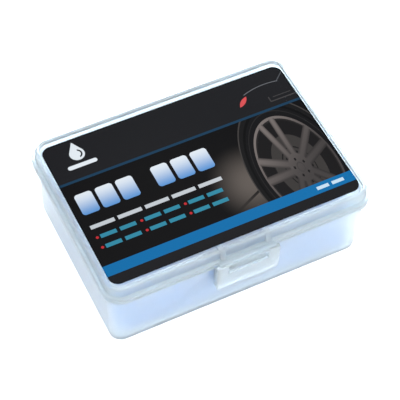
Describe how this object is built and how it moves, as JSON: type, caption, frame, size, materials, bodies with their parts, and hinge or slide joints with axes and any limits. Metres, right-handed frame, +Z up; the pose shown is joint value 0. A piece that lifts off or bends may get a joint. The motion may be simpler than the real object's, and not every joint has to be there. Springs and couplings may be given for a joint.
{
  "type": "clay bar in a hinged storage box",
  "caption": "Block of detailing clay in a shallow translucent box with a living-hinged lid, a front snap latch and a printed lid label.",
  "frame": {"origin": "on the surface the box stands on, under the middle of its flanges", "axes": "+X along the length, +Y from the latch to the rear hinge, +Z up out of the tray"},
  "size_m": [0.096, 0.0712, 0.0318],
  "materials": {
    "frosted_polypropylene": "translucent natural moulding, lightly frosted, satin gloss",
    "printed_film": "laminated dark print, semi gloss",
    "blue_clay": "matte kneadable putty"
  },
  "bodies": {
    "tray": {"base_tray": "frosted_polypropylene", "clay_bar": "blue_clay", "rear_hinge_web": "frosted_polypropylene"},
    "cover": {"lid": "frosted_polypropylene", "top_label": "printed_film", "latch_hinge_web": "frosted_polypropylene"},
    "latch": {"front_latch": "frosted_polypropylene"}
  },
  "joints": [
    {"name": "lid_hinge", "type": "hinge", "parent": "tray", "child": "cover", "pos_m": [0, 0.0348, 0.02685], "axis": [-1, 0, 0], "range_deg": [0, 180]},
    {"name": "latch_hinge", "type": "hinge", "parent": "cover", "child": "latch", "pos_m": [0, -0.0347, 0.028], "axis": [-1, 0, 0], "range_deg": [0, 120]}
  ]
}
